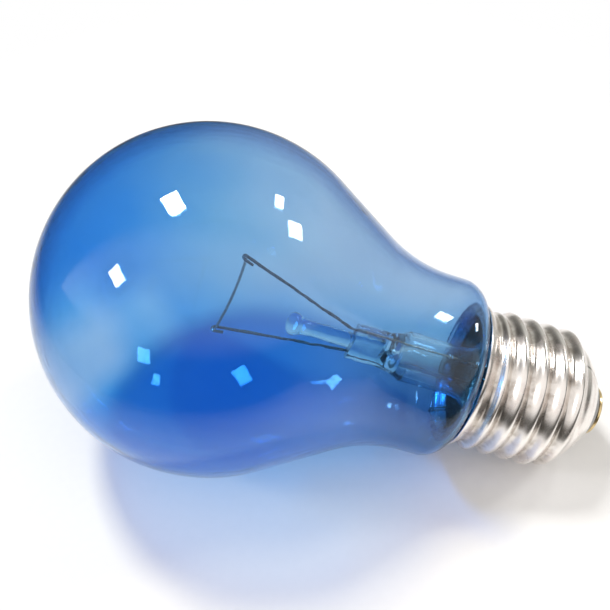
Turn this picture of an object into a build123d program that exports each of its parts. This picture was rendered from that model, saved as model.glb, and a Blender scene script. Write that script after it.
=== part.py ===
from build123d import *
import math
import os

# A clear blue glass filament lamp with a screw cap, lying on its side.
# Each piece is made upright about its own axis: +Z runs from the globe to the cap, with zero at
# the middle of the globe. lay_down then turns it onto its side, globe and cap on the table.
# A station is a height on that axis.

# Blown envelope: globe, straight shoulder, hollow curve, short neck, and the round into the cap
GLOBE_D = 61.0
ENVELOPE_WALL = 0.6
SHOULDER_ANGLE = 30.0
NECK_CURVE_R = 26.0
NECK_D = 32.8
NECK_STRAIGHT = 2.6
NECK_ROUND_R = 4.2
NECK_ROUND_ANGLE = 78.0
THROAT_FILLET_R = 1.0

# Screw cap, measured along from its rim
CAP_SHEET = 0.3
THREAD_CREST_D = 26.1
THREAD_DEPTH = 1.05
THREAD_PITCH = 3.629
FIRST_CREST = 4.85
THREAD_START = 2.4
THREAD_RUN_IN = 1.6
THREAD_RUN_OUT = 3.9
RIM_LIP_D = 26.8
RIM_LIP_LENGTH = 2.6
SHELL_LENGTH = 23.5
SHELL_END_D = 14.4
TAPER_LENGTH = 6.3
TAPER_POWER = 1.3
SECTIONS_PER_HALF = 11
WAVE_POINTS = 41

# How the envelope sits in the cap
RIM_GAP = 0.4
THROAT_CLEARANCE = 0.7
THROAT_DEPTH = 6.2
CEMENT_LENGTH = 4.1
CEMENT_CLEARANCE = 0.05

# Black glass insulator, end contact and its solder
INSULATOR_STEP = 0.2
INSULATOR_PLUG_CLEARANCE = 0.35
INSULATOR_PLUG = 1.3
INSULATOR_LENGTH = 2.1
CONTACT_D = 9.0
CONTACT_THICKNESS = 0.5
CONTACT_EDGE_R = 0.2
CONTACT_HOLE_D = 1.0
CENTRE_SOLDER_D = 5.6
CENTRE_SOLDER_HEIGHT = 0.9

# Pressed glass stem, measured along from its press
STEM_LENGTH = 27.9
STEM_TUBE_D = 9.2
STEM_WALL = 0.8
PRESS_WIDTH = 8.4
PRESS_THICKNESS = 3.2
PRESS_LENGTH = 5.6
PRESS_BLEND = 4.4
STEM_FLOOR_DEPTH = 8.6
STEM_FLOOR_STEP = 0.4
FLARE_LENGTH = 8.0
FLARE_ANGLE = 49.0
STEM_FLANGE = 0.7
EXHAUST_D = 4.4
EXHAUST_WALL = 0.7
EXHAUST_LENGTH = 25.8
EXHAUST_PORT_D = 1.4
EXHAUST_PORT_ANGLE = 50.0
CANE_D = 2.8
CANE_LENGTH = 12.0
CANE_BUTTON_D = 4.2
CANE_BUTTON_LENGTH = 2.6

# Wires: the two leads stand in one plane, turned about the axis by MOUNT_ROLL
MOUNT_ROLL = 177.0
LEAD_SPACING = 6.2
INNER_LEAD_D = 0.5
SEAL_WIRE_D = 0.4
OUTER_LEAD_D = 0.3
SEAL_DEPTH = 1.6
SEAL_WIRE_LENGTH = 5.2
LEAD_STAND = 1.0
LEAD_BEND_R = 3.0
HOOK_HEIGHTS = (22.7, 23.5)
HOOK_OFFSETS = (13.0, -6.8)
HOOK_BEND_R = 0.48
HOOK_RETURN = 1.6

# Filament between the hooks
FILAMENT_D = 0.5
FILAMENT_LEG_D = 0.3
FILAMENT_LEG = 1.4
FILAMENT_BOW = 0.5
FILAMENT_TAIL = 0.7

# Wires and solder in and on the cap
OUTER_LEAD_BEND_R = 1.5
SIDE_WIRE_RUN = 16.0
SIDE_WIRE_EXIT = 0.5
SIDE_WIRE_OVERHANG = 1.3
SIDE_WIRE_SLANT = 2.6
SIDE_WIRE_BENDS = (3.0, 1.2, 0.8, 1.2, 0.4, 0.3)
SIDE_WIRE_STAND = 0.35
SIDE_WIRE_CLEARANCE = 0.03
SIDE_SOLDER_D = 2.0
SIDE_SOLDER_HEIGHT = 0.9
SIDE_SOLDER_DROP = 0.7

GLOBE_R = GLOBE_D / 2
NECK_R = NECK_D / 2
CREST_R = THREAD_CREST_D / 2
ROOT_R = CREST_R - THREAD_DEPTH
RIM_R = RIM_LIP_D / 2
THROAT_R = ROOT_R - CAP_SHEET - THROAT_CLEARANCE
SLOPE = math.radians(SHOULDER_ANGLE)
TURN = math.radians(NECK_ROUND_ANGLE)

WAIST = (GLOBE_R + NECK_CURVE_R - (NECK_R + NECK_CURVE_R) * math.cos(SLOPE)) / math.sin(SLOPE)
NECK_END = WAIST + NECK_STRAIGHT
CAP_RIM = NECK_END + NECK_ROUND_R * math.sin(TURN) + RIM_GAP
SEAL = CAP_RIM + THROAT_DEPTH
CAP_END = CAP_RIM + SHELL_LENGTH
CONTACT_SEAT = CAP_END + INSULATOR_LENGTH
CONTACT_FACE = CONTACT_SEAT + CONTACT_THICKNESS

STEM_END = SEAL + STEM_FLANGE
PRESS_TOP = STEM_END - STEM_LENGTH
STEM_FLOOR = PRESS_TOP + STEM_FLOOR_DEPTH
TUBE_START = PRESS_TOP + PRESS_LENGTH + PRESS_BLEND
EXHAUST_TIP = STEM_FLOOR + EXHAUST_LENGTH
SEAL_WIRE_START = PRESS_TOP + SEAL_DEPTH
SEAL_WIRE_END = SEAL_WIRE_START + SEAL_WIRE_LENGTH
SIDE_WIRE_R = THROAT_R + THROAT_CLEARANCE / 2


def ease(value, start, end):
    """Smooth step from 0 at start to 1 at end."""
    share = min(1.0, max(0.0, (value - start) / (end - start)))
    return share * share * (3 - 2 * share)


def lathe(section):
    """Solid turned about the axis from a half section, as edges in radius and station."""
    return revolve(Plane.XZ * make_face(section), Axis.Z, 360)


def rod_along(offset, start, end, diameter):
    """Straight rod parallel to the axis, in the plane of the leads."""
    upright = (Align.CENTER, Align.CENTER, Align.MIN)
    return Pos(offset, 0, start) * Cylinder(diameter / 2, end - start, align=upright)


def swept_rod(path, diameter):
    return sweep(Plane(path @ 0, z_dir=path % 0) * Circle(diameter / 2), path)


def in_lead_plane(piece):
    return Rot(0, 0, MOUNT_ROLL) * piece


def envelope_outline(inset):
    """Edges of the blown outline, moved inwards by inset."""
    globe = GLOBE_R - inset
    curve = NECK_CURVE_R + inset
    rounding = NECK_ROUND_R - inset
    fillet_arc = THROAT_FILLET_R + inset
    reach = NECK_ROUND_R + THROAT_FILLET_R
    straight = (NECK_R - THROAT_R - reach * (1 - math.cos(TURN))) / math.sin(TURN)
    fillet_r = NECK_R - NECK_ROUND_R + reach * math.cos(TURN) - straight * math.sin(TURN)
    fillet_z = NECK_END + reach * math.sin(TURN) + straight * math.cos(TURN)

    def on_globe(angle):
        return (globe * math.cos(angle), globe * math.sin(angle))

    def on_curve(angle):
        return (NECK_R + NECK_CURVE_R - curve * math.cos(angle), WAIST - curve * math.sin(angle))

    def on_round(angle):
        return (NECK_R - NECK_ROUND_R + rounding * math.cos(angle), NECK_END + rounding * math.sin(angle))

    def on_fillet(angle):
        return (fillet_r - fillet_arc * math.cos(angle), fillet_z - fillet_arc * math.sin(angle))

    return [
        ThreePointArc((0, -globe), on_globe(-SLOPE), on_globe(SLOPE)),
        Line(on_globe(SLOPE), on_curve(SLOPE)),
        ThreePointArc(on_curve(SLOPE), on_curve(SLOPE / 2), on_curve(0)),
        Line(on_curve(0), on_round(0)),
        ThreePointArc(on_round(0), on_round(TURN / 2), on_round(TURN)),
        Line(on_round(TURN), on_fillet(TURN)),
        ThreePointArc(on_fillet(TURN), on_fillet(TURN / 2), on_fillet(0)),
        Line(on_fillet(0), (THROAT_R - inset, SEAL)),
    ]


def make_envelope():
    """Thin blown bulb, open at its throat, where the stem's rim closes it."""
    outer = envelope_outline(0)
    inner = envelope_outline(ENVELOPE_WALL)
    mouth = Line(outer[-1] @ 1, inner[-1] @ 1)
    apex = Line(inner[0] @ 0, outer[0] @ 0)
    return lathe([*outer, *inner, mouth, apex])


def shell_radius(along, turn):
    """Outside radius of the screw shell at a distance from its rim, a share of a turn round it."""
    taper_start = SHELL_LENGTH - TAPER_LENGTH
    phase = (along - FIRST_CREST) / THREAD_PITCH - turn
    crest = 0.5 * (1 + math.cos(2 * math.pi * phase))
    crest *= ease(along, THREAD_START, THREAD_START + THREAD_RUN_IN)
    groove = THREAD_DEPTH * (1 - crest) * (1 - ease(along, taper_start, taper_start + THREAD_RUN_OUT))
    lip = (RIM_R - ROOT_R) * (1 - ease(along, 0, RIM_LIP_LENGTH))
    past = max(0.0, along - taper_start) / TAPER_LENGTH
    taper = (CREST_R - SHELL_END_D / 2) * past ** TAPER_POWER
    return CREST_R - groove + lip - taper


def shell_slope(along, turn):
    probe = 0.01
    return (shell_radius(along + probe, turn) - shell_radius(along - probe, turn)) / (2 * probe)


def shell_end_bore():
    """Inside radius of the sheet where it is cut off square at the insulator."""
    return SHELL_END_D / 2 - CAP_SHEET * math.hypot(1, shell_slope(SHELL_LENGTH, 0))


def shell_section(turn):
    """Cross section of the sheet wall on one side of the axis."""
    outside = []
    inside = []
    for index in range(WAVE_POINTS):
        along = SHELL_LENGTH * index / (WAVE_POINTS - 1)
        radius = shell_radius(along, turn)
        slope = shell_slope(along, turn)
        shift = CAP_SHEET / math.hypot(1, slope)
        outside.append((radius, CAP_RIM + along))
        inside.append((radius - shift, CAP_RIM + along + shift * slope))
    inside[0] = (RIM_R - CAP_SHEET, CAP_RIM)
    inside[-1] = (shell_end_bore(), CAP_END)
    wall = [
        Spline(*outside),
        Line(outside[-1], inside[-1]),
        Spline(*reversed(inside)),
        Line(inside[0], outside[0]),
    ]
    return Plane.XZ.rotated((0, 0, 360 * turn)) * make_face(wall)


def make_cap_shell():
    """Rolled screw shell. Sections of its wall stand round the axis, each with the thread's wave
    moved on by its share of the pitch, and the sheet is lofted through them in two halves."""
    halves = []
    for start in (0, 0.5):
        turns = [start + 0.5 * index / (SECTIONS_PER_HALF - 1) for index in range(SECTIONS_PER_HALF)]
        halves.append(loft([shell_section(turn).face() for turn in turns]))
    return halves[0] + halves[1]


def make_cement():
    """Ring between the throat and the cap, with a groove for the side wire."""
    start = SEAL - CEMENT_LENGTH
    outer = ROOT_R - CAP_SHEET - CEMENT_CLEARANCE
    ring = Polyline((THROAT_R, start), (outer, start), (outer, SEAL), (THROAT_R, SEAL), close=True)
    return in_lead_plane(lathe(ring) - rod_along(-SIDE_WIRE_R, start, SEAL, OUTER_LEAD_D))


def make_insulator():
    """Black glass button that closes the shell, with a hole for the centre wire."""
    hole = OUTER_LEAD_D / 2
    plug = shell_end_bore() - INSULATOR_PLUG_CLEARANCE
    seat = SHELL_END_D / 2 - INSULATOR_STEP
    section = Polyline(
        (hole, CAP_END - INSULATOR_PLUG),
        (plug, CAP_END - INSULATOR_PLUG),
        (plug, CAP_END),
        (seat, CAP_END),
        (CONTACT_D / 2, CONTACT_SEAT),
        (hole, CONTACT_SEAT),
        close=True)
    return lathe(section)


def make_centre_contact():
    disc = rod_along(0, CONTACT_SEAT, CONTACT_FACE, CONTACT_D)
    rim = disc.edges().filter_by(GeomType.CIRCLE).sort_by(Axis.Z)[-1]
    return fillet(rim, CONTACT_EDGE_R) - rod_along(0, CONTACT_SEAT, CONTACT_FACE, CONTACT_HOLE_D)


def make_centre_solder():
    """Dome on the contact, with a plug round the wire in the contact's hole."""
    edge = CENTRE_SOLDER_D / 2
    top = CONTACT_FACE + CENTRE_SOLDER_HEIGHT
    wire_r = OUTER_LEAD_D / 2
    plug = CONTACT_HOLE_D / 2
    section = [
        TangentArc((0, top), (edge, CONTACT_FACE), tangent=(1, 0)),
        Polyline((edge, CONTACT_FACE), (plug, CONTACT_FACE), (plug, CONTACT_SEAT), (wire_r, CONTACT_SEAT)),
        Polyline((wire_r, CONTACT_SEAT), (wire_r, CONTACT_FACE), (0, CONTACT_FACE), (0, top)),
    ]
    return lathe(section)


def flare_section(tube, mouth, flange):
    """Half section, out to the axis, of the round tube, its trumpet mouth and the rim past it."""
    flare_start = SEAL - FLARE_LENGTH
    lean = math.radians(FLARE_ANGLE)
    step = [(mouth + flange, SEAL)] if flange else []
    return [
        Polyline((0, TUBE_START), (tube, TUBE_START), (tube, flare_start)),
        Spline((tube, flare_start), (mouth, SEAL), tangents=((0, 1), (math.sin(lean), math.cos(lean)))),
        Polyline((mouth, SEAL), *step, (mouth + flange, STEM_END), (0, STEM_END), (0, TUBE_START)),
    ]


def stem_outside():
    """Flat press, its blend into the round tube, and the flared mouth, all solid."""
    tube = STEM_TUBE_D / 2
    flat = SlotOverall(PRESS_WIDTH, PRESS_THICKNESS)
    press = extrude(Pos(0, 0, PRESS_TOP) * flat, PRESS_LENGTH)
    flat_end = Pos(0, 0, PRESS_TOP + PRESS_LENGTH) * flat
    round_end = Pos(0, 0, TUBE_START) * Circle(tube)
    blend = loft([flat_end.face(), round_end.face()])
    return press + blend + lathe(flare_section(tube, THROAT_R - ENVELOPE_WALL, ENVELOPE_WALL))


def make_stem():
    """One glass piece: its rim closes the throat, and its press holds the wires and the tube."""
    bore = STEM_TUBE_D / 2 - STEM_WALL
    floor = bore - STEM_FLOOR_STEP
    mouth = THROAT_R - ENVELOPE_WALL - STEM_WALL
    funnel = Polyline(
        (0, STEM_FLOOR), (floor, STEM_FLOOR), (bore, TUBE_START), (0, TUBE_START), close=True)
    port = Pos(0, 0, STEM_FLOOR) * Rot(180 - EXHAUST_PORT_ANGLE, 0, 0) * rod_along(
        0, 0, STEM_TUBE_D, EXHAUST_PORT_D)
    stem = stem_outside() - (lathe(flare_section(bore, mouth, 0)) + lathe(funnel)) - port
    for spot in (LEAD_SPACING / 2, -LEAD_SPACING / 2):
        stem -= rod_along(spot, PRESS_TOP, SEAL_WIRE_START, INNER_LEAD_D)
        stem -= rod_along(spot, SEAL_WIRE_START, SEAL_WIRE_END, SEAL_WIRE_D)
        stem -= rod_along(spot, SEAL_WIRE_END, STEM_FLOOR, OUTER_LEAD_D)
    return in_lead_plane(stem)


def make_exhaust_tube():
    """Tube for pumping out, melted shut in a round tip inside the cap."""
    tip = EXHAUST_TIP - EXHAUST_D / 2
    tube = rod_along(0, STEM_FLOOR, tip, EXHAUST_D) + Pos(0, 0, tip) * Sphere(EXHAUST_D / 2)
    return tube - rod_along(0, STEM_FLOOR, tip - EXHAUST_WALL, EXHAUST_D - 2 * EXHAUST_WALL)


def make_cane():
    """Glass rod on the press, with its end melted into a button."""
    rod = CANE_D / 2
    tip = PRESS_TOP - CANE_LENGTH
    crown = (CANE_BUTTON_D / 2, tip + CANE_BUTTON_LENGTH / 2)
    shaft = (rod, tip + CANE_BUTTON_LENGTH + rod)
    section = [
        Spline((0, tip), crown, shaft, tangents=((1, 0), (0, 1), (0, 1))),
        Polyline(shaft, (rod, PRESS_TOP), (0, PRESS_TOP), (0, tip)),
    ]
    return lathe(section)


def lead_spot(side):
    """Offset of a wire in the press: side 0 is the upper lead, side 1 the lower."""
    return (1 - 2 * side) * LEAD_SPACING / 2


def hook_place(side, lift):
    return Vector(HOOK_OFFSETS[side], lift, PRESS_TOP - HOOK_HEIGHTS[side])


def make_inner_lead(side):
    """Lead from the press to its hook, with the end folded back round the filament's leg."""
    spot = lead_spot(side)
    hook = hook_place(side, 0)
    leaving = Vector(spot, 0, PRESS_TOP - LEAD_STAND)
    run = (hook - leaving).normalized()
    straight = FilletPolyline(Vector(spot, 0, SEAL_WIRE_START), leaving, hook, radius=LEAD_BEND_R)
    sideways = Vector(0, 1, 0)
    far_side = hook + sideways * 2 * HOOK_BEND_R
    fold = ThreePointArc(hook, (hook + far_side) / 2 + run * HOOK_BEND_R, far_side)
    tail = Line(far_side, far_side - run * HOOK_RETURN)
    path = Wire(straight.edges() + fold.edges() + tail.edges())
    return in_lead_plane(swept_rod(path, INNER_LEAD_D))


def make_seal_wire(side):
    return in_lead_plane(rod_along(lead_spot(side), SEAL_WIRE_START, SEAL_WIRE_END, SEAL_WIRE_D))


def make_filament():
    """Outside of the coil, bowed a little towards the stem, with a thinner leg in each hook."""
    ends = [hook_place(side, HOOK_BEND_R) for side in (0, 1)]
    middle = (ends[0] + ends[1]) / 2 + Vector(0, 0, FILAMENT_BOW)
    bow = ThreePointArc(ends[0], middle, ends[1]).edge()
    share = FILAMENT_LEG / bow.length
    legs = Wire([
        Edge.make_line(ends[0] - (bow % 0) * FILAMENT_TAIL, ends[0]),
        bow,
        Edge.make_line(ends[1], ends[1] + (bow % 1) * FILAMENT_TAIL),
    ])
    body = bow.trim(share, 1 - share)
    return in_lead_plane(swept_rod(legs, FILAMENT_LEG_D) + swept_rod(body, FILAMENT_D))


def make_centre_lead():
    """Outer lead from the press, past the exhaust tube's tip, to the end contact."""
    spot = lead_spot(0)
    path = FilletPolyline(
        (spot, 0, SEAL_WIRE_END),
        (spot, 0, EXHAUST_TIP),
        (0, 0, EXHAUST_TIP + 2 * spot),
        (0, 0, CONTACT_FACE),
        radius=OUTER_LEAD_BEND_R)
    return in_lead_plane(swept_rod(path, OUTER_LEAD_D))


def make_side_lead():
    """Outer lead that turns back over the stem's mouth and comes out over the cap's rim."""
    spot = lead_spot(1)
    turn_back = STEM_END + SIDE_WIRE_OVERHANG
    over = CAP_RIM - OUTER_LEAD_D / 2 - SIDE_WIRE_CLEARANCE
    outside = -RIM_R - SIDE_WIRE_STAND
    path = FilletPolyline(
        (spot, 0, SEAL_WIRE_END),
        (spot, 0, SEAL_WIRE_END + SIDE_WIRE_RUN),
        (SIDE_WIRE_SLANT - SIDE_WIRE_R, 0, turn_back),
        (-SIDE_WIRE_R, 0, turn_back),
        (-SIDE_WIRE_R, 0, SEAL - CEMENT_LENGTH - SIDE_WIRE_EXIT),
        (-RIM_R + CAP_SHEET + OUTER_LEAD_D, 0, over),
        (outside, 0, over),
        (outside, 0, CAP_RIM + SIDE_SOLDER_DROP),
        radius=list(SIDE_WIRE_BENDS))
    return in_lead_plane(swept_rod(path, OUTER_LEAD_D))


def make_side_solder(side_lead):
    """Dome against the outside of the rim, round the end of the side wire."""
    edge = SIDE_SOLDER_D / 2
    section = [
        TangentArc((0, SIDE_SOLDER_HEIGHT), (edge, 0), tangent=(1, 0)),
        Polyline((edge, 0), (0, 0), (0, SIDE_SOLDER_HEIGHT)),
    ]
    dome = Pos(-RIM_R, 0, CAP_RIM + SIDE_SOLDER_DROP) * Rot(0, -90, 0) * lathe(section)
    return in_lead_plane(dome) - side_lead


def lying_tilt():
    """Angle between axis and table when the globe and a thread crest both touch the table."""
    angles = []
    stations = 400
    for index in range(stations):
        along = SHELL_LENGTH * index / stations
        radius = shell_radius(along, 0)
        height = CAP_RIM + along
        angles.append(math.asin(GLOBE_R / math.hypot(height, radius)) - math.atan2(radius, height))
    return math.degrees(min(angles))


def make_pieces():
    side_lead = make_side_lead()
    return {
        "glass_envelope": make_envelope(),
        "glass_stem": make_stem(),
        "exhaust_tube": make_exhaust_tube(),
        "support_cane": make_cane(),
        "inner_lead_upper": make_inner_lead(0),
        "inner_lead_lower": make_inner_lead(1),
        "seal_wire_upper": make_seal_wire(0),
        "seal_wire_lower": make_seal_wire(1),
        "filament": make_filament(),
        "centre_lead": make_centre_lead(),
        "side_lead": side_lead,
        "cap_shell": make_cap_shell(),
        "basing_cement": make_cement(),
        "cap_insulator": make_insulator(),
        "centre_contact": make_centre_contact(),
        "centre_solder": make_centre_solder(),
        "side_solder": make_side_solder(side_lead),
    }


def lay_down(pieces):
    """Onto the table, with the middle of the whole box over the origin."""
    turn = Rot(0, 90 + lying_tilt(), 0)
    cap_reach = max((turn * pieces[name]).bounding_box().max.X for name in ("cap_shell", "centre_solder"))
    place = Pos((GLOBE_R - cap_reach) / 2, 0, GLOBE_R) * turn
    return {name: place * piece for name, piece in pieces.items()}


os.makedirs("parts", exist_ok=True)
for name, piece in lay_down(make_pieces()).items():
    export_step(piece, f"parts/{name}.step")
print("lying tilt", round(lying_tilt(), 3), "rim", round(CAP_RIM, 3), "contact face", round(CONTACT_FACE, 3))
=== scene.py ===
import math

import bmesh
import bpy
from mathutils import Matrix, Vector


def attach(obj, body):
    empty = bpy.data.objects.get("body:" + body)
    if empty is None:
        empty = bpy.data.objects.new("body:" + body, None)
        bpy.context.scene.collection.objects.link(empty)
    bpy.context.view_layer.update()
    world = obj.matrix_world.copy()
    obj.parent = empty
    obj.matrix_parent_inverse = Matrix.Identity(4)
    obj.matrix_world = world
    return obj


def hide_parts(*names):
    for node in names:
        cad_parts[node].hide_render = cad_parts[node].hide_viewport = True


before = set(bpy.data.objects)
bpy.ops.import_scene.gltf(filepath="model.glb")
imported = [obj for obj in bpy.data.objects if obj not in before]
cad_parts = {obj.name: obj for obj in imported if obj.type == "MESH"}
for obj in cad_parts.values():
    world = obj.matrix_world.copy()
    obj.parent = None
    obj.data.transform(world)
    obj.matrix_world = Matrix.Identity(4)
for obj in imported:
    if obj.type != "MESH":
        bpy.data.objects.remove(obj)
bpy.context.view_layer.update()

MM = 0.001

# The lamp's own axis: Z from the globe's middle to the cap, in millimetres, as in the part's source
LYING_TILT = 16.741
GLOBE_PLACE = (-0.020125, 0.0, 0.0305)
LAY_DOWN = (Matrix.Translation(GLOBE_PLACE)
            @ Matrix.Rotation(math.radians(90 + LYING_TILT), 4, "Y")
            @ Matrix.Scale(MM, 4))
MOUNT_ROLL = 177.0
IN_LEAD_PLANE = LAY_DOWN @ Matrix.Rotation(math.radians(MOUNT_ROLL), 4, "Z")

# Envelope
GLOBE_R = 30.5
WALL = 0.6
SLOPE = math.radians(30)
NECK_CURVE_R = 26.0
NECK_R = 16.4
NECK_STRAIGHT = 2.6
NECK_ROUND_R = 4.2
NECK_TURN = math.radians(78)
FILLET_R = 1.0
RIM_GAP = 0.4
THROAT_DEPTH = 6.2

# Screw cap
SHEET = 0.3
CREST_R = 13.05
THREAD_DEPTH = 1.05
PITCH = 3.629
FIRST_CREST = 4.85
THREAD_START = 2.4
RUN_IN = 1.6
RUN_OUT = 3.9
RIM_R = 13.4
LIP_LENGTH = 2.6
SHELL_LENGTH = 23.5
SHELL_END_R = 7.2
TAPER_LENGTH = 6.3
TAPER_POWER = 1.3
ROOT_R = CREST_R - THREAD_DEPTH
THROAT_R = ROOT_R - SHEET - 0.7

WAIST = (GLOBE_R + NECK_CURVE_R - (NECK_R + NECK_CURVE_R) * math.cos(SLOPE)) / math.sin(SLOPE)
NECK_END = WAIST + NECK_STRAIGHT
CAP_RIM = NECK_END + NECK_ROUND_R * math.sin(NECK_TURN) + RIM_GAP
SEAL = CAP_RIM + THROAT_DEPTH
CAP_END = CAP_RIM + SHELL_LENGTH
STEM_END = SEAL + 0.7
PRESS_TOP = STEM_END - 27.9

# Filament, hung between the hooks of the two inner leads
HOOK_HEIGHTS = (22.7, 23.5)
HOOK_OFFSETS = (13.0, -6.8)
HOOK_BEND_R = 0.48
FILAMENT_BOW = 0.5
FILAMENT_TAIL = 0.7
FILAMENT_LEG = 1.4

# Fineness of the meshes
ENVELOPE_SIDES = 192
GLOBE_STEPS = 84
CURVE_STEPS = 18
FILLET_STEPS = 10
MERGE_DISTANCE = 0.0005
SHARP_ANGLE = 35
WIRE_SHARP_ANGLE = 80

# Studio, in metres
FLOOR_R = 0.15
FLOOR_FADE_R = 0.055
FLOOR_SIDES = 128
ROOM_R = 1.2
LAMP_DISTANCE = 0.7


# Node trees

class Number:
    """A value in a node tree, so that a tree is written as sums."""

    def __init__(self, tree, socket):
        self.tree = tree
        self.socket = socket

    def math(self, operation, *others):
        node = self.tree.nodes.new("ShaderNodeMath")
        node.operation = operation
        for slot, value in zip(node.inputs, (self, *others)):
            feed(self.tree, slot, value)
        return Number(self.tree, node.outputs[0])

    def __add__(self, other):
        return self.math("ADD", other)

    def __sub__(self, other):
        return self.math("SUBTRACT", other)

    def __mul__(self, other):
        return self.math("MULTIPLY", other)

    def __truediv__(self, other):
        return self.math("DIVIDE", other)

    def __rsub__(self, other):
        return (self * -1.0) + other

    def __rtruediv__(self, other):
        return self.math("POWER", -1.0) * other

    def eased(self, start, end):
        """Smooth step from 0 at start to 1 at end."""
        node = self.tree.nodes.new("ShaderNodeMapRange")
        node.interpolation_type = "SMOOTHSTEP"
        for name, value in (("Value", self), ("From Min", start), ("From Max", end)):
            feed(self.tree, node.inputs[name], value)
        return Number(self.tree, node.outputs[0])


def feed(tree, slot, value):
    """Links or sets an input."""
    if isinstance(value, Number):
        tree.links.new(value.socket, slot)
    elif isinstance(value, bpy.types.NodeSocket):
        tree.links.new(value, slot)
    else:
        slot.default_value = value


def add_node(tree, kind, inputs=None, **settings):
    """New node with its settings, and its inputs by name or by number."""
    node = tree.nodes.new(kind)
    for name, value in settings.items():
        setattr(node, name, value)
    for name, value in (inputs or {}).items():
        feed(tree, node.inputs[name], value)
    return node


def vector_math(tree, operation, first, second=None):
    """Result of a vector operation, as a number where it gives one."""
    inputs = {0: first}
    if second is not None:
        inputs["Scale" if operation == "SCALE" else 1] = second
    node = add_node(tree, "ShaderNodeVectorMath", inputs, operation=operation)
    if operation in ("DOT_PRODUCT", "LENGTH"):
        return Number(tree, node.outputs["Value"])
    return node.outputs["Vector"]


def new_group(name, kind, inputs, outputs):
    """An empty node group with named sockets, and its input and output nodes."""
    tree = bpy.data.node_groups.new(name, kind)
    for label, socket, value in inputs:
        made = tree.interface.new_socket(label, in_out="INPUT", socket_type=socket)
        if value is not None:
            made.default_value = value
    for label, socket in outputs:
        tree.interface.new_socket(label, in_out="OUTPUT", socket_type=socket)
    return tree, tree.nodes.new("NodeGroupInput"), tree.nodes.new("NodeGroupOutput")


def use_group(tree, group, inputs, kind="ShaderNodeGroup"):
    """Places a node group with its own values."""
    node = tree.nodes.new(kind)
    node.node_tree = group
    for name, value in inputs.items():
        feed(tree, node.inputs[name], value)
    return node


# Meshes

def finish_mesh(mesh, name, matrix, material, sharp=SHARP_ANGLE):
    """A piece from a mesh in the lamp's own millimetres: closed, facing out, smooth and in place."""
    work = bmesh.new()
    work.from_mesh(mesh)
    bmesh.ops.remove_doubles(work, verts=work.verts, dist=MERGE_DISTANCE)
    bmesh.ops.recalc_face_normals(work, faces=work.faces)
    work.to_mesh(mesh)
    work.free()
    mesh.transform(matrix)
    mesh.polygons.foreach_set("use_smooth", [True] * len(mesh.polygons))
    mesh.set_sharp_from_angle(angle=math.radians(sharp))
    mesh.materials.clear()
    mesh.materials.append(material)
    mesh.name = name
    piece = bpy.data.objects.new(name, mesh)
    bpy.context.scene.collection.objects.link(piece)
    return piece


def turned_mesh(profile, sides):
    """Mesh turned about the axis from a closed profile of (radius, station)."""
    turns = [2 * math.pi * k / sides for k in range(sides)]
    verts = [(radius * math.cos(turn), radius * math.sin(turn), station)
             for radius, station in profile for turn in turns]
    faces = []
    for row in range(len(profile)):
        low = row * sides
        high = (row + 1) % len(profile) * sides
        for k in range(sides):
            after = (k + 1) % sides
            faces.append((low + k, low + after, high + after, high + k))
    mesh = bpy.data.meshes.new("turned")
    mesh.from_pydata(verts, [], faces)
    work = bmesh.new()
    work.from_mesh(mesh)
    bmesh.ops.remove_doubles(work, verts=work.verts, dist=MERGE_DISTANCE)
    bmesh.ops.dissolve_degenerate(work, edges=work.edges, dist=MERGE_DISTANCE)
    work.to_mesh(mesh)
    work.free()
    return mesh


def arc(centre, radius, start, end, steps):
    """Points on an arc, angles in radians."""
    points = []
    for k in range(steps + 1):
        angle = start + (end - start) * k / steps
        points.append((centre[0] + radius * math.cos(angle), centre[1] + radius * math.sin(angle)))
    return points


def envelope_line(inset):
    """Points down the blown outline, from the globe's pole to the throat's mouth."""
    reach = NECK_ROUND_R + FILLET_R
    straight = (NECK_R - THROAT_R - reach * (1 - math.cos(NECK_TURN))) / math.sin(NECK_TURN)
    fillet = (NECK_R - NECK_ROUND_R + reach * math.cos(NECK_TURN) - straight * math.sin(NECK_TURN),
              NECK_END + reach * math.sin(NECK_TURN) + straight * math.cos(NECK_TURN))
    inward = math.pi
    points = arc((0, 0), GLOBE_R - inset, -math.pi / 2, SLOPE, GLOBE_STEPS)
    points += arc((NECK_R + NECK_CURVE_R, WAIST), NECK_CURVE_R + inset, inward + SLOPE, inward, CURVE_STEPS)
    points += arc((NECK_R - NECK_ROUND_R, NECK_END), NECK_ROUND_R - inset, 0, NECK_TURN, CURVE_STEPS)
    points += arc(fillet, FILLET_R + inset, inward + NECK_TURN, inward, FILLET_STEPS)
    points += [(THROAT_R - inset, SEAL)]
    points[0] = (0.0, -(GLOBE_R - inset))
    return points


def make_envelope(material):
    """Blown envelope: the outline and the same outline a wall further in, turned together."""
    profile = envelope_line(0) + list(reversed(envelope_line(WALL)))
    return finish_mesh(turned_mesh(profile, ENVELOPE_SIDES), "blown_envelope", LAY_DOWN, material)


# Screw shell, by Geometry Nodes

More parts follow.
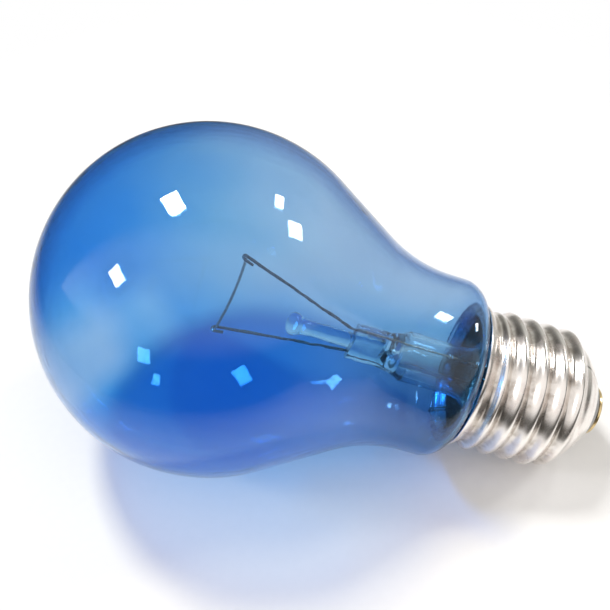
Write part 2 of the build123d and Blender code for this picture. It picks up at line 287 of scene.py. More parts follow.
def thread_wave():
    """Node group: outside radius of the screw shell, at a distance from its rim and a share of a turn."""
    sizes = [
        ("Along", 0.0), ("Turn", 0.0), ("Crest Radius", CREST_R), ("Thread Depth", THREAD_DEPTH),
        ("Pitch", PITCH), ("First Crest", FIRST_CREST), ("Thread Start", THREAD_START),
        ("Run In", RUN_IN), ("Run Out", RUN_OUT), ("Rim Radius", RIM_R), ("Lip Length", LIP_LENGTH),
        ("Shell Length", SHELL_LENGTH), ("End Radius", SHELL_END_R), ("Taper Length", TAPER_LENGTH),
        ("Taper Power", TAPER_POWER),
    ]
    tree, source, result = new_group(
        "Thread Wave", "GeometryNodeTree",
        [(name, "NodeSocketFloat", value) for name, value in sizes], [("Radius", "NodeSocketFloat")])
    get = {name: Number(tree, source.outputs[name]) for name, _ in sizes}
    along = get["Along"]
    phase = (along - get["First Crest"]) / get["Pitch"] - get["Turn"]
    crest = ((phase * (2 * math.pi)).math("COSINE") + 1.0) * 0.5
    crest = crest * along.eased(get["Thread Start"], get["Thread Start"] + get["Run In"])
    taper_start = get["Shell Length"] - get["Taper Length"]
    fade = 1.0 - along.eased(taper_start, taper_start + get["Run Out"])
    groove = get["Thread Depth"] * (1.0 - crest) * fade
    root = get["Crest Radius"] - get["Thread Depth"]
    lip = (get["Rim Radius"] - root) * (1.0 - along.eased(0.0, get["Lip Length"]))
    past = ((along - taper_start) / get["Taper Length"]).math("MAXIMUM", 0.0)
    taper = (get["Crest Radius"] - get["End Radius"]) * past.math("POWER", get["Taper Power"])
    radius = get["Crest Radius"] - groove + lip - taper
    tree.links.new(radius.socket, result.inputs["Radius"])
    return tree


def screw_shell_tree(material):
    """Geometry Nodes: a grid rolled into the threaded sheet wall, outside, end, inside and rim."""
    sizes = [("Sheet", SHEET), ("Rim Station", CAP_RIM), ("Shell Length", SHELL_LENGTH)]
    tree, source, result = new_group(
        "Screw Shell", "GeometryNodeTree",
        [(name, "NodeSocketFloat", value) for name, value in sizes]
        + [("Outer Rows", "NodeSocketInt", 240), ("Inner Rows", "NodeSocketInt", 58),
           ("Columns", "NodeSocketInt", 288)],
        [("Geometry", "NodeSocketGeometry")])
    wave = thread_wave()
    length = Number(tree, source.outputs["Shell Length"])
    sheet = Number(tree, source.outputs["Sheet"])
    outer = Number(tree, source.outputs["Outer Rows"])
    inner = Number(tree, source.outputs["Inner Rows"])
    columns = Number(tree, source.outputs["Columns"])
    grid = add_node(tree, "GeometryNodeMeshGrid", {
        "Size X": 1.0, "Size Y": 1.0, "Vertices X": columns + 1.0, "Vertices Y": outer + inner + 1.0})
    split = add_node(tree, "ShaderNodeSeparateXYZ")
    tree.links.new(tree.nodes.new("GeometryNodeInputPosition").outputs[0], split.inputs[0])
    turn = Number(tree, split.outputs["X"]) + 0.5
    row = ((Number(tree, split.outputs["Y"]) + 0.5) * (outer + inner)).math("ROUND")
    outside = row.math("LESS_THAN", outer - 0.5)
    inside = (1.0 - outside) * row.math("LESS_THAN", outer + inner - 0.5)
    inner_share = (outer + inner - 1.0 - row) / (inner - 1.0)
    along = (row / (outer - 1.0) * outside + inner_share * inside) * length

    def radius_at(place):
        node = use_group(tree, wave, {"Along": place, "Turn": turn}, "GeometryNodeGroup")
        return Number(tree, node.outputs["Radius"])

    # The sheet keeps its thickness where the wave is steep
    probe = 0.01
    radius = radius_at(along)
    slope = (radius_at(along + probe) - radius_at(along - probe)) / (2 * probe)
    stretch = (slope * slope + 1.0).math("SQRT")
    shift = sheet / stretch
    cut = along.math("GREATER_THAN", length - 0.001)
    inner_radius = radius - shift - (sheet * stretch - shift) * cut
    inner_along = along + shift * slope * (1.0 - cut)
    radius = radius + (inner_radius - radius) * inside
    station = along + (inner_along - along) * inside + Number(tree, source.outputs["Rim Station"])
    angle = turn * (2 * math.pi)
    place = add_node(tree, "ShaderNodeCombineXYZ", {
        "X": radius * angle.math("COSINE"), "Y": radius * angle.math("SINE"), "Z": station})
    moved = add_node(tree, "GeometryNodeSetPosition", {
        "Geometry": grid.outputs["Mesh"], "Position": place.outputs[0]})
    # A known fault: this mask, which carries a painted shade meant for the inside of the shell, is worked out
    # from the moved points, so it marks a fine line down the taper's top and underside, and not the inside.
    # Stored before the move, it would mark the inside.
    marked = add_node(tree, "GeometryNodeStoreNamedAttribute", {
        "Geometry": moved.outputs[0], "Name": "inside", "Value": inside})
    merged = add_node(tree, "GeometryNodeMergeByDistance", {
        "Geometry": marked.outputs[0], "Distance": MERGE_DISTANCE})
    close_tree(tree, merged.outputs[0], material, result)
    return tree


def close_tree(tree, geometry, material, result):
    """Ends a geometry tree with real instances and a material."""
    real = add_node(tree, "GeometryNodeRealizeInstances", {"Geometry": geometry})
    finish = add_node(tree, "GeometryNodeSetMaterial", {"Geometry": real.outputs[0], "Material": material})
    tree.links.new(finish.outputs[0], result.inputs["Geometry"])


def mesh_from_tree(tree, name):
    """Plain mesh that a geometry tree makes."""
    base = bpy.data.objects.new(name, bpy.data.meshes.new(name))
    bpy.context.scene.collection.objects.link(base)
    base.modifiers.new(name, "NODES").node_group = tree
    depsgraph = bpy.context.evaluated_depsgraph_get()
    mesh = bpy.data.meshes.new_from_object(base.evaluated_get(depsgraph))
    base.modifiers.clear()
    bpy.data.objects.remove(base)
    return mesh


# Filament coil, by Geometry Nodes

def coil_tree(material):
    """Geometry Nodes: fine wire wound round an arc between the two hooks, narrower in the hooks."""
    ends = [Vector((HOOK_OFFSETS[k], HOOK_BEND_R, PRESS_TOP - HOOK_HEIGHTS[k])) for k in (0, 1)]
    middle = (ends[0] + ends[1]) / 2 + Vector((0, 0, FILAMENT_BOW))
    run = (ends[1] - ends[0]).normalized()
    tree, source, result = new_group(
        "Filament Coil", "GeometryNodeTree",
        [("Start", "NodeSocketVector", ends[0] - run * FILAMENT_TAIL),
         ("Middle", "NodeSocketVector", middle),
         ("End", "NodeSocketVector", ends[1] + run * FILAMENT_TAIL),
         ("Turns", "NodeSocketFloat", 96.0), ("Coil Radius", "NodeSocketFloat", 0.2),
         ("Leg Radius", "NodeSocketFloat", 0.1), ("Wire Radius", "NodeSocketFloat", 0.05),
         ("Points Per Turn", "NodeSocketInt", 12)],
        [("Geometry", "NodeSocketGeometry")])
    turns = Number(tree, source.outputs["Turns"])
    bow = add_node(tree, "GeometryNodeCurveArc", {
        "Start": source.outputs["Start"], "Middle": source.outputs["Middle"],
        "End": source.outputs["End"], "Resolution": 64}, mode="POINTS")
    count = turns * Number(tree, source.outputs["Points Per Turn"])
    line = add_node(tree, "GeometryNodeCurvePrimitiveLine", {"Start": (0, 0, 0), "End": (1, 0, 0)})
    steps = add_node(tree, "GeometryNodeResampleCurve", {"Curve": line.outputs[0], "Count": count})
    share = Number(tree, add_node(tree, "GeometryNodeSplineParameter").outputs["Factor"])
    sample = add_node(tree, "GeometryNodeSampleCurve", {"Curves": bow.outputs["Curve"], "Factor": share})
    across = vector_math(tree, "CROSS_PRODUCT", sample.outputs["Tangent"], sample.outputs["Normal"])
    leg = FILAMENT_LEG / (ends[1] - ends[0]).length
    body = share.eased(leg * 0.7, leg * 1.3) * (1.0 - share.eased(1 - leg * 1.3, 1 - leg * 0.7))
    thin_leg_and_painted_light = Number(tree, source.outputs["Leg Radius"])
    radius = thin_leg_and_painted_light + (Number(tree, source.outputs["Coil Radius"]) - thin_leg_and_painted_light) * body
    angle = share * turns * (2 * math.pi)
    sideways = vector_math(tree, "SCALE", sample.outputs["Normal"], radius * angle.math("COSINE"))
    upwards = vector_math(tree, "SCALE", across, radius * angle.math("SINE"))
    place = vector_math(tree, "ADD", vector_math(tree, "ADD", sample.outputs["Position"], sideways), upwards)
    wound = add_node(tree, "GeometryNodeSetPosition", {"Geometry": steps.outputs[0], "Position": place})
    ring = add_node(tree, "GeometryNodeCurvePrimitiveCircle", {
        "Resolution": 6, "Radius": Number(tree, source.outputs["Wire Radius"])})
    wire = add_node(tree, "GeometryNodeCurveToMesh", {
        "Curve": wound.outputs[0], "Profile Curve": ring.outputs[0], "Fill Caps": True})
    close_tree(tree, wire.outputs[0], material, result)
    return tree


# Materials

def new_material(name):
    """Material with a Principled shader joined to its output."""
    material = bpy.data.materials.new(name)
    material.use_nodes = True
    tree = material.node_tree
    tree.nodes.clear()
    shader = tree.nodes.new("ShaderNodeBsdfPrincipled")
    output = tree.nodes.new("ShaderNodeOutputMaterial")
    tree.links.new(shader.outputs[0], output.inputs["Surface"])
    return material, tree, shader, output


def mixed(tree, share, first, second):
    """Colour between two colours or colour sockets."""
    node = add_node(tree, "ShaderNodeMix", {"Factor": share}, data_type="RGBA")
    for slot, colour in ((6, first), (7, second)):
        feed(tree, node.inputs[slot], (*colour, 1) if isinstance(colour, tuple) else colour)
    return node.outputs[2]


def lamp_axis_group():
    """Node group: object coordinates in the lamp's own axis, in millimetres."""
    tree, source, result = new_group(
        "Lamp Axis", "ShaderNodeTree", [("Object", "NodeSocketVector", None)],
        [("Place", "NodeSocketVector"), ("Along", "NodeSocketFloat"), ("Radius", "NodeSocketFloat")])
    back = LAY_DOWN.inverted()
    mapping = add_node(tree, "ShaderNodeMapping", {"Vector": source.outputs["Object"]})
    mapping.inputs["Location"].default_value = back.to_translation()
    mapping.inputs["Rotation"].default_value = back.to_euler()
    mapping.inputs["Scale"].default_value = (1 / MM, 1 / MM, 1 / MM)
    split = add_node(tree, "ShaderNodeSeparateXYZ", {0: mapping.outputs[0]})
    x = Number(tree, split.outputs["X"])
    y = Number(tree, split.outputs["Y"])
    tree.links.new(mapping.outputs[0], result.inputs["Place"])
    tree.links.new(split.outputs["Z"], result.inputs["Along"])
    tree.links.new((x * x + y * y).math("SQRT").socket, result.inputs["Radius"])
    return tree


def patches_group():
    """Node group: mask of soft-edged patches of a given size."""
    tree, source, result = new_group(
        "Soft Patches", "ShaderNodeTree",
        [("Place", "NodeSocketVector", None), ("Size", "NodeSocketFloat", 4.0),
         ("Detail", "NodeSocketFloat", 4.0), ("Start", "NodeSocketFloat", 0.45),
         ("Full", "NodeSocketFloat", 0.65)],
        [("Mask", "NodeSocketFloat")])
    noise = add_node(tree, "ShaderNodeTexNoise", {
        "Vector": source.outputs["Place"], "Scale": 1.0 / Number(tree, source.outputs["Size"]),
        "Detail": source.outputs["Detail"]})
    mask = Number(tree, noise.outputs["Fac"]).eased(source.outputs["Start"], source.outputs["Full"])
    tree.links.new(mask.socket, result.inputs["Mask"])
    return tree


def turned_lines_group():
    """Node group: fine uneven lines that run round the axis."""
    tree, source, result = new_group(
        "Turned Lines", "ShaderNodeTree",
        [("Place", "NodeSocketVector", None), ("Along", "NodeSocketFloat", None),
         ("Radius", "NodeSocketFloat", None), ("Spacing", "NodeSocketFloat", 0.2)],
        [("Line", "NodeSocketFloat")])
    split = add_node(tree, "ShaderNodeSeparateXYZ", {0: source.outputs["Place"]})
    radius = Number(tree, source.outputs["Radius"])
    down = (Number(tree, source.outputs["Along"]) + radius * 0.8) / Number(tree, source.outputs["Spacing"])
    place = add_node(tree, "ShaderNodeCombineXYZ", {
        "X": Number(tree, split.outputs["X"]) / radius * 2.5,
        "Y": Number(tree, split.outputs["Y"]) / radius * 2.5, "Z": down})
    noise = add_node(tree, "ShaderNodeTexNoise", {"Vector": place.outputs[0], "Scale": 1.0, "Detail": 3.0})
    tree.links.new(noise.outputs["Fac"], result.inputs["Line"])
    return tree


def grain_group():
    """Node group: height and tone of a cast or melted grain."""
    tree, source, result = new_group(
        "Grain", "ShaderNodeTree",
        [("Place", "NodeSocketVector", None), ("Size", "NodeSocketFloat", 0.6)],
        [("Height", "NodeSocketFloat"), ("Tone", "NodeSocketFloat")])
    scale = 1.0 / Number(tree, source.outputs["Size"])
    cells = add_node(tree, "ShaderNodeTexVoronoi", {
        "Vector": source.outputs["Place"], "Scale": scale}, feature="SMOOTH_F1")
    noise = add_node(tree, "ShaderNodeTexNoise", {
        "Vector": source.outputs["Place"], "Scale": scale * 2.7, "Detail": 5.0})
    height = Number(tree, cells.outputs["Distance"]) + Number(tree, noise.outputs["Fac"]) * 0.5
    tone = add_node(tree, "ShaderNodeSeparateColor", {0: cells.outputs["Color"]})
    tree.links.new(height.socket, result.inputs["Height"])
    tree.links.new(tone.outputs[0], result.inputs["Tone"])
    return tree


LAMP_AXIS = lamp_axis_group()
SOFT_PATCHES = patches_group()
TURNED_LINES = turned_lines_group()
GRAIN = grain_group()


def lamp_axis(tree):
    coordinates = tree.nodes.new("ShaderNodeTexCoord")
    return use_group(tree, LAMP_AXIS, {"Object": coordinates.outputs["Object"]}).outputs


def patches(tree, axis, size, start, full, detail=4.0):
    node = use_group(tree, SOFT_PATCHES, {
        "Place": axis["Place"], "Size": size, "Start": start, "Full": full, "Detail": detail})
    return Number(tree, node.outputs["Mask"])


def turned_lines(tree, axis, spacing):
    node = use_group(tree, TURNED_LINES, {
        "Place": axis["Place"], "Along": axis["Along"], "Radius": axis["Radius"], "Spacing": spacing})
    return Number(tree, node.outputs["Line"])


def relief(tree, shader, height, depth):
    """Bump of a depth in millimetres."""
    bump = add_node(tree, "ShaderNodeBump", {"Height": height, "Distance": depth * MM})
    tree.links.new(bump.outputs["Normal"], shader.inputs["Normal"])


def worn_metal(name, clean, tarnished, patch_size, gloss, line_spacing, line_depth):
    """Metal with tarnished patches, uneven gloss and fine lines round the axis. Sizes are in millimetres,
    and gloss is the roughness where it is clean and where it is tarnished."""
    material, tree, shader, _ = new_material(name)
    shader.inputs["Metallic"].default_value = 1.0
    axis = lamp_axis(tree)
    stain = patches(tree, axis, patch_size, 0.42, 0.72)
    line = turned_lines(tree, axis, line_spacing)
    tree.links.new(mixed(tree, stain, clean, tarnished), shader.inputs["Base Color"])
    rough = (stain * 0.7 + line * 0.3) * (gloss[1] - gloss[0]) + gloss[0]
    tree.links.new(rough.socket, shader.inputs["Roughness"])
    relief(tree, shader, line, line_depth)
    return material, tree, shader, axis


GROOVE_DARK_TONE = (0.28, 0.23, 0.18)
PAINTED_SHADE_INSIDE = (0.09, 0.085, 0.07)


def make_nickel():
    """Bright nickel on rolled sheet: darker and browner in the grooves, with fine rolling lines. The painted
    shade meant for the inside of the shell shows only where the mask from screw_shell_tree falls."""
    material, tree, shader, axis = worn_metal(
        "nickel_sheet", (0.94, 0.905, 0.87), (0.84, 0.77, 0.73), 3.5, (0.2, 0.32), 0.16, 0.003)
    stained = shader.inputs["Base Color"].links[0].from_socket
    along = Number(tree, axis["Along"])
    threaded = 1.0 - along.eased(CAP_END - TAPER_LENGTH, CAP_END - 4.0)
    # Darker and browner in the grooves, in patches
    groove = (1.0 - Number(tree, axis["Radius"]).eased(ROOT_R + 0.05, CREST_R - 0.2)) * threaded
    groove_darkening = groove * (patches(tree, axis, 1.6, 0.35, 0.75) * 0.5 + 0.2)
    groove_darkened = mixed(tree, groove_darkening, stained, GROOVE_DARK_TONE)
    # Painted shade: a dark tone meant for the shell's inside, laid where the stored mask falls
    inside = add_node(tree, "ShaderNodeAttribute", attribute_name="inside")
    shade_painted_inside = mixed(tree, inside.outputs["Fac"], groove_darkened, PAINTED_SHADE_INSIDE)
    tree.links.new(shade_painted_inside, shader.inputs["Base Color"])
    return material


def make_solder():
    """Soft solder, melted smooth with a faint frosted grain and amber flux stains."""
    material, tree, shader, _ = new_material("soft_solder")
    shader.inputs["Metallic"].default_value = 1.0
    axis = lamp_axis(tree)
    grain = use_group(tree, GRAIN, {"Place": axis["Place"], "Size": 0.5})
    stain = patches(tree, axis, 1.3, 0.52, 0.7)
    frosted = mixed(tree, grain.outputs["Tone"], (0.66, 0.66, 0.65), (0.50, 0.50, 0.50))
    tree.links.new(mixed(tree, stain * 0.7, frosted, (0.38, 0.24, 0.10)), shader.inputs["Base Color"])
    rough = Number(tree, grain.outputs["Tone"]) * 0.15 + stain * 0.15 + 0.2
    tree.links.new(rough.socket, shader.inputs["Roughness"])
    relief(tree, shader, grain.outputs["Height"], 0.03)
    return material


def make_cement():
    """Baked basing cement: dark, matt and grainy, with pale mineral specks."""
    material, tree, shader, _ = new_material("basing_cement")
    axis = lamp_axis(tree)
    grain = use_group(tree, GRAIN, {"Place": axis["Place"], "Size": 0.35})
    speck = Number(tree, grain.outputs["Tone"]).eased(0.78, 0.9)
    body = mixed(tree, patches(tree, axis, 2.0, 0.3, 0.7), (0.07, 0.062, 0.05), (0.14, 0.12, 0.09))
    tree.links.new(mixed(tree, speck, body, (0.30, 0.27, 0.22)), shader.inputs["Base Color"])
    tree.links.new((speck * 0.1 + 0.8).socket, shader.inputs["Roughness"])
    relief(tree, shader, grain.outputs["Height"], 0.06)
    return material


def make_black_glass():
    """Opaque black glass, glossy, with greyer flow bands and handled smears."""
    material, tree, shader, _ = new_material("black_glass")
    axis = lamp_axis(tree)
    band = turned_lines(tree, axis, 0.7)
    smear = patches(tree, axis, 1.8, 0.45, 0.7)
    tree.links.new(mixed(tree, band, (0.006, 0.006, 0.008), (0.03, 0.028, 0.03)), shader.inputs["Base Color"])
    tree.links.new((smear * 0.18 + 0.06).socket, shader.inputs["Roughness"])
    relief(tree, shader, band, 0.02)
    return material


def glass_shader(name, shade):
    """Clear glass, with a tint for the light that the lamps throw through it."""
    material, tree, shader, output = new_material(name)
    shader.inputs["Roughness"].default_value = 0.0
    shader.inputs["IOR"].default_value = 1.5
    shader.inputs["Transmission Weight"].default_value = 1.0
    paths = tree.nodes.new("ShaderNodeLightPath")
    clear = add_node(tree, "ShaderNodeBsdfTransparent")
    clear.inputs["Color"].default_value = (*shade, 1)
    through = Number(tree, paths.outputs["Is Shadow Ray"]).math("MAXIMUM", paths.outputs["Is Diffuse Ray"])
    mix = add_node(tree, "ShaderNodeMixShader", {
        0: through, 1: shader.outputs[0], 2: clear.outputs[0]})
    tree.links.new(mix.outputs[0], output.inputs["Surface"])
    return material, tree, shader, output


def drawn_cords(tree, axis, width, length):
    """Streaks of a drawn or blown glass, long along the axis."""
    stretched = vector_math(tree, "MULTIPLY", axis["Place"], (1 / width, 1 / width, 1 / length))
    noise = add_node(tree, "ShaderNodeTexNoise", {"Vector": stretched, "Scale": 1.0, "Detail": 2.0})
    return Number(tree, noise.outputs["Fac"])


# Directions in the room, from the globe's middle
TO_NECK = (0.991, 0.134, 0.0)
TO_UPPER_BACK = (-0.104, 0.769, 0.630)
TO_LOWER_LEFT = (-0.806, -0.501, -0.315)
TO_LOWER_FRONT = (0.678, -0.535, -0.504)

# Blue glass, as light is coloured by its body and tinted at its skin
BLUE_BODY = (0.336, 0.619, 0.854)
BLUE_DENSITY = 1200.0
BLUE_SHADOW = (0.42, 0.82, 0.95)
DEEP_BLUE = (0.26, 0.61, 0.92)
MIDDLE_BLUE = (0.59, 0.79, 0.89)
PALE_BLUE = (0.92, 0.93, 0.92)
# The next four colours paint shadow, light, sheen and shade into the glass's tint
PAINTED_SHADOW_BLUE = (0.10, 0.68, 1.0)
PAINTED_LIGHT_BLUE = (0.97, 1.0, 1.0)
NECK_PAINTED_SHEEN = (1.0, 0.99, 0.97)
NECK_PAINTED_SHADE = (0.08, 0.33, 0.35)
RIM_BLUE = (0.05, 0.28, 0.61)


def make_blue_glass():
    """Blue all through: deepest at the tip and its rim, paler to the neck. Painted into the tint are a deeper
    blue underneath as painted shadow, a paler patch low on the left as painted light, a paler upper side of
    the neck as painted sheen and a darker underside of the neck as painted shade.
    """
    material, tree, shader, output = glass_shader("blue_glass", BLUE_SHADOW)
    inside = add_node(tree, "ShaderNodeVolumeAbsorption")
    inside.inputs["Density"].default_value = BLUE_DENSITY
    inside.inputs["Color"].default_value = (*BLUE_BODY, 1)
    tree.links.new(inside.outputs[0], output.inputs["Volume"])
    axis = lamp_axis(tree)
    coordinates = tree.nodes.new("ShaderNodeTexCoord")

    def reach(direction):
        """Distance from the globe's middle along a direction in the room, in millimetres."""
        middle = Vector(direction).dot(Vector(GLOBE_PLACE))
        return vector_math(tree, "DOT_PRODUCT", coordinates.outputs["Object"], direction) / MM - middle / MM

    neck = reach(TO_NECK)
    upright = reach(TO_UPPER_BACK)
    front = reach(TO_LOWER_FRONT)

    # Deep at the tip, pale at the shoulder, with soft clouds between
    cloud = patches(tree, axis, 16.0, 0.3, 0.7, 2.0)
    ramp = add_node(tree, "ShaderNodeValToRGB", {"Fac": 0.45 - neck * 0.0277 + cloud * 0.14})
    stops = ramp.color_ramp.elements
    stops[0].position, stops[0].color = 0.0, (*PALE_BLUE, 1)
    stops[1].position, stops[1].color = 1.0, (*DEEP_BLUE, 1)
    stops.new(0.5).color = (*MIDDLE_BLUE, 1)

    # Painted shadow: the underside is tinted a deeper blue, which deepens the shadow seen through the globe
    painted_shadow_below = (1.0 - upright.eased(-10.0, 6.0)) * (0.66 - neck.eased(8.0, 26.0) * 0.25)
    tone = mixed(tree, painted_shadow_below, ramp.outputs["Color"], PAINTED_SHADOW_BLUE)
    # Painted light: a paler patch low on the left, lighter than the glass's own tint
    thin_leg_and_painted_light = reach(TO_LOWER_LEFT).eased(8.0, 15.0) * front.eased(-17.0, -8.0)
    thin_leg_and_painted_light = thin_leg_and_painted_light * (1.0 - front.eased(-1.0, 4.5) * 0.9)
    tone = mixed(tree, thin_leg_and_painted_light * 0.9, tone, PAINTED_LIGHT_BLUE)
    # Painted sheen: the upper side of the neck is whitened
    tone = mixed(tree, neck.eased(26.0, 38.0) * upright.eased(-6.0, 6.0), tone, NECK_PAINTED_SHEEN)
    # Painted shade: the underside of the neck is darker
    shade = neck.eased(20.0, 34.0) * (1.0 - upright.eased(-12.0, 0.0))
    tone = mixed(tree, shade * 0.25, tone, NECK_PAINTED_SHADE)

    facing = add_node(tree, "ShaderNodeLayerWeight", {"Blend": 0.5})
    rim = Number(tree, facing.outputs["Facing"]).eased(0.45, 0.85) * upright.eased(-18.0, 4.0)
    tree.links.new(mixed(tree, rim * 0.9, tone, RIM_BLUE), shader.inputs["Base Color"])
    relief(tree, shader, drawn_cords(tree, axis, 3.5, 22.0), 0.03)
    return material


def make_stem_glass():
    """Colourless drawn glass with faint cords, a little grey where it was worked in the flame."""
    material, tree, shader, _ = glass_shader("stem_glass", (0.96, 0.97, 0.97))
    axis = lamp_axis(tree)
    worked = 1.0 - Number(tree, axis["Along"]).eased(PRESS_TOP + 6.0, PRESS_TOP + 12.0)
    smoke = patches(tree, axis, 2.2, 0.35, 0.7) * worked
    tree.links.new(mixed(tree, smoke, (0.97, 0.98, 0.98), (0.86, 0.88, 0.88)), shader.inputs["Base Color"])
    relief(tree, shader, drawn_cords(tree, axis, 0.8, 6.0) + smoke * 0.6, 0.05)
    return material


def plain_metal(*settings):
    """Worn metal with nothing more added to it."""
    return worn_metal(*settings)[0]


blue_glass = make_blue_glass()
clear_glass = make_stem_glass()
nickel = make_nickel()
solder = make_solder()
cement = make_cement()
black_glass = make_black_glass()
tungsten = plain_metal("tungsten_wire", (0.26, 0.25, 0.25), (0.14, 0.15, 0.19), 1.2, (0.3, 0.5), 0.05, 0.003)
lead_wire = plain_metal("lead_wire", (0.17, 0.165, 0.18), (0.08, 0.08, 0.10), 1.6, (0.2, 0.4), 0.08, 0.002)
seal_wire = plain_metal(
    "copper_seal_wire", (0.72, 0.30, 0.18), (0.30, 0.06, 0.04), 0.9, (0.3, 0.5), 0.1, 0.004)
copper = plain_metal("copper_wire", (0.80, 0.46, 0.32), (0.40, 0.20, 0.13), 1.8, (0.22, 0.45), 0.08, 0.004)
brass = plain_metal("contact_brass", (0.80, 0.63, 0.34), (0.50, 0.34, 0.16), 1.5, (0.18, 0.4), 0.12, 0.005)


# Pieces

envelope = make_envelope(blue_glass)
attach(envelope, "root")
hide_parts("glass_envelope")

shell_mesh = mesh_from_tree(screw_shell_tree(nickel), "screw_shell")
shell = finish_mesh(shell_mesh, "screw_shell", LAY_DOWN, nickel)
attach(shell, "root")
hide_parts("cap_shell")

coil_mesh = mesh_from_tree(coil_tree(tungsten), "wound_filament")
coil = finish_mesh(coil_mesh, "wound_filament", IN_LEAD_PLANE, tungsten, WIRE_SHARP_ANGLE)
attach(coil, "root")
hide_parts("filament")

finishes = {
    "glass_stem": clear_glass, "exhaust_tube": clear_glass, "support_cane": clear_glass,
    "inner_lead_upper": lead_wire, "inner_lead_lower": lead_wire,
    "seal_wire_upper": seal_wire, "seal_wire_lower": seal_wire,
    "centre_lead": copper, "side_lead": copper, "basing_cement": cement,
    "cap_insulator": black_glass, "centre_contact": brass,
    "centre_solder": solder, "side_solder": solder,
}
for node, material in finishes.items():
    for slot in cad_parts[node].material_slots:
        slot.material = material

# Floor

PAPER = (0.88, 0.87, 0.855)
PAPER_FIBRE = (0.91, 0.90, 0.885)


def make_floor():
    """Sheet of white paper under the lamp, fading out into the white ground."""
    turns = [2 * math.pi * k / FLOOR_SIDES for k in range(FLOOR_SIDES)]
    mesh = bpy.data.meshes.new("pale_floor")
    mesh.from_pydata([(FLOOR_R * math.cos(turn), FLOOR_R * math.sin(turn), 0) for turn in turns],
                     [], [tuple(range(FLOOR_SIDES))])
    floor = bpy.data.objects.new("pale_floor", mesh)
    bpy.context.scene.collection.objects.link(floor)
    material, tree, shader, output = new_material("pale_floor")
    coordinates = tree.nodes.new("ShaderNodeTexCoord")
    fibre = add_node(tree, "ShaderNodeTexNoise", {
        "Vector": coordinates.outputs["Object"], "Scale": 600.0, "Detail": 3.0})
    tree.links.new(mixed(tree, fibre.outputs["Fac"], PAPER, PAPER_FIBRE), shader.inputs["Base Color"])
    shader.inputs["Roughness"].default_value = 0.9
    gone = vector_math(tree, "LENGTH", coordinates.outputs["Object"]).eased(FLOOR_FADE_R, FLOOR_R)
    clear = add_node(tree, "ShaderNodeBsdfTransparent")
    mix = add_node(tree, "ShaderNodeMixShader", {0: gone, 1: shader.outputs[0], 2: clear.outputs[0]})
    tree.links.new(mix.outputs[0], output.inputs["Surface"])
    mesh.materials.append(material)


# Light

GROUND_WHITE = (1, 1, 1, 1)
CEILING_TONE = (1.0, 0.96, 0.93)
WALL_TONE = (0.05, 0.047, 0.042)
WINDOW_TONE = (0.52, 0.52, 0.49)
WINDOW_DIRECTION = (0.55, 0.80, 0.25)
CEILING_UP = 0.83
CEILING_FORWARD = 0.55

# Name, direction from the globe, direction of its first side, size in metres, and brightness as it is seen
LAMPS = (
    ("main_lamp", (-0.326, 0.300, 0.897), (0.815, 0.570, 0.102), (0.110, 0.178), 50),
    ("left_lamp", (-0.736, -0.318, 0.597), (0.405, -0.913, 0.044), (0.126, 0.084), 22),
    ("far_lamp", (0.501, 0.575, 0.647), (0.793, -0.023, -0.608), (0.056, 0.108), 24),
    ("right_lamp", (0.705, 0.369, 0.605), (0.555, 0.209, -0.805), (0.102, 0.119), 24),
)


def make_ground():
    """Plain white world, which the camera and the glass see behind everything."""
    world = bpy.data.worlds.new("white_ground")
    bpy.context.scene.world = world
    world.use_nodes = True
    ground = world.node_tree.nodes["Background"]
    ground.inputs["Color"].default_value = GROUND_WHITE
    ground.inputs["Strength"].default_value = 1.0


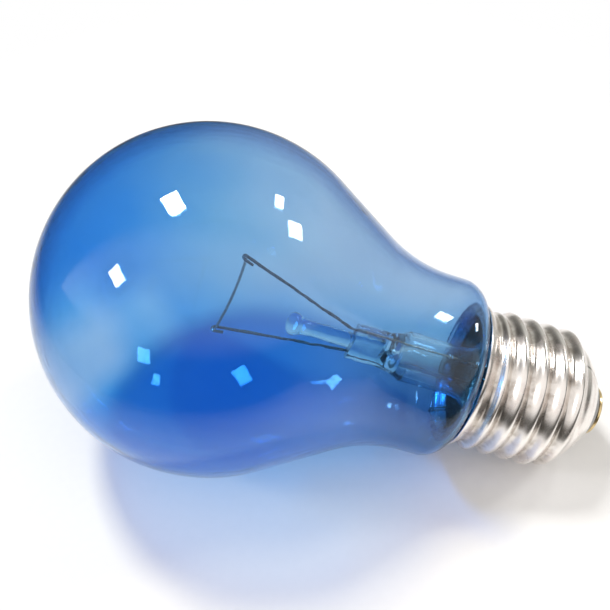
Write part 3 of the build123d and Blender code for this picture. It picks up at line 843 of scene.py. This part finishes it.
def make_studio():
    """Room round the lamp, for its light and reflections: a long bright ceiling in front and above,
    dark walls, and a window far to the right."""
    mesh = bpy.data.meshes.new("studio_room")
    work = bmesh.new()
    bmesh.ops.create_uvsphere(work, u_segments=48, v_segments=24, radius=ROOM_R)
    work.to_mesh(mesh)
    work.free()
    room = bpy.data.objects.new("studio_room", mesh)
    bpy.context.scene.collection.objects.link(room)
    room.visible_camera = False
    room.visible_transmission = False
    material = bpy.data.materials.new("studio_room")
    material.use_nodes = True
    tree = material.node_tree
    tree.nodes.clear()
    output = tree.nodes.new("ShaderNodeOutputMaterial")
    coordinates = tree.nodes.new("ShaderNodeTexCoord")
    direction = vector_math(tree, "NORMALIZE", coordinates.outputs["Object"])
    split = add_node(tree, "ShaderNodeSeparateXYZ", {0: direction})
    y, z = Number(tree, split.outputs["Y"]), Number(tree, split.outputs["Z"])
    overhead = (z * CEILING_UP - y * CEILING_FORWARD) / (y * y + z * z).math("SQRT")
    ceiling = overhead.eased(0.72, 0.93)
    window = vector_math(tree, "DOT_PRODUCT", direction, Vector(WINDOW_DIRECTION).normalized())
    walls = mixed(tree, window.eased(0.5, 0.92), WALL_TONE, WINDOW_TONE)
    glow = add_node(tree, "ShaderNodeEmission", {
        "Color": mixed(tree, ceiling, walls, CEILING_TONE), "Strength": 1.0})
    tree.links.new(glow.outputs[0], output.inputs["Surface"])
    mesh.materials.append(material)


def add_lamp(name, direction, across, size, radiance):
    """Flat soft lamp aimed at the globe, its first side along across."""
    data = bpy.data.lights.new(name, "AREA")
    data.shape = "RECTANGLE"
    data.size, data.size_y = size
    data.energy = radiance * math.pi * size[0] * size[1]
    lamp = bpy.data.objects.new(name, data)
    bpy.context.scene.collection.objects.link(lamp)
    aim = Vector(direction).normalized()
    along = Vector(across)
    along = (along - aim * along.dot(aim)).normalized()
    turn = Matrix((along, aim.cross(along), aim)).transposed()
    lamp.matrix_world = Matrix.Translation(Vector(GLOBE_PLACE) + aim * LAMP_DISTANCE) @ turn.to_4x4()


# Camera, as fitted to the photograph: its place is from the globe's middle, in millimetres

SENSOR_WIDTH = 36
PICTURE_WIDTH = 610
FOCAL_LENGTH = 900 * SENSOR_WIDTH / PICTURE_WIDTH
CAMERA_RISE = math.radians(50.931)
CAMERA_RIGHT = Vector((0.991040, 0.133564, 0))
CAMERA_PLACE = Vector((29.341, -96.352, 120.982))


def make_camera():
    data = bpy.data.cameras.new("camera")
    data.sensor_width = SENSOR_WIDTH
    data.lens = FOCAL_LENGTH
    data.clip_start = 0.01
    camera = bpy.data.objects.new("camera", data)
    bpy.context.scene.collection.objects.link(camera)
    level = Vector((-CAMERA_RIGHT.y, CAMERA_RIGHT.x, 0))
    away = level * math.cos(CAMERA_RISE) - Vector((0, 0, math.sin(CAMERA_RISE)))
    turn = Matrix((CAMERA_RIGHT, CAMERA_RIGHT.cross(away), -away)).transposed()
    camera.matrix_world = Matrix.Translation(Vector(GLOBE_PLACE) + CAMERA_PLACE * MM) @ turn.to_4x4()
    bpy.context.scene.camera = camera


make_floor()
make_ground()
make_studio()
for lamp in LAMPS:
    add_lamp(*lamp)
make_camera()
bpy.context.scene.view_settings.view_transform = "Standard"
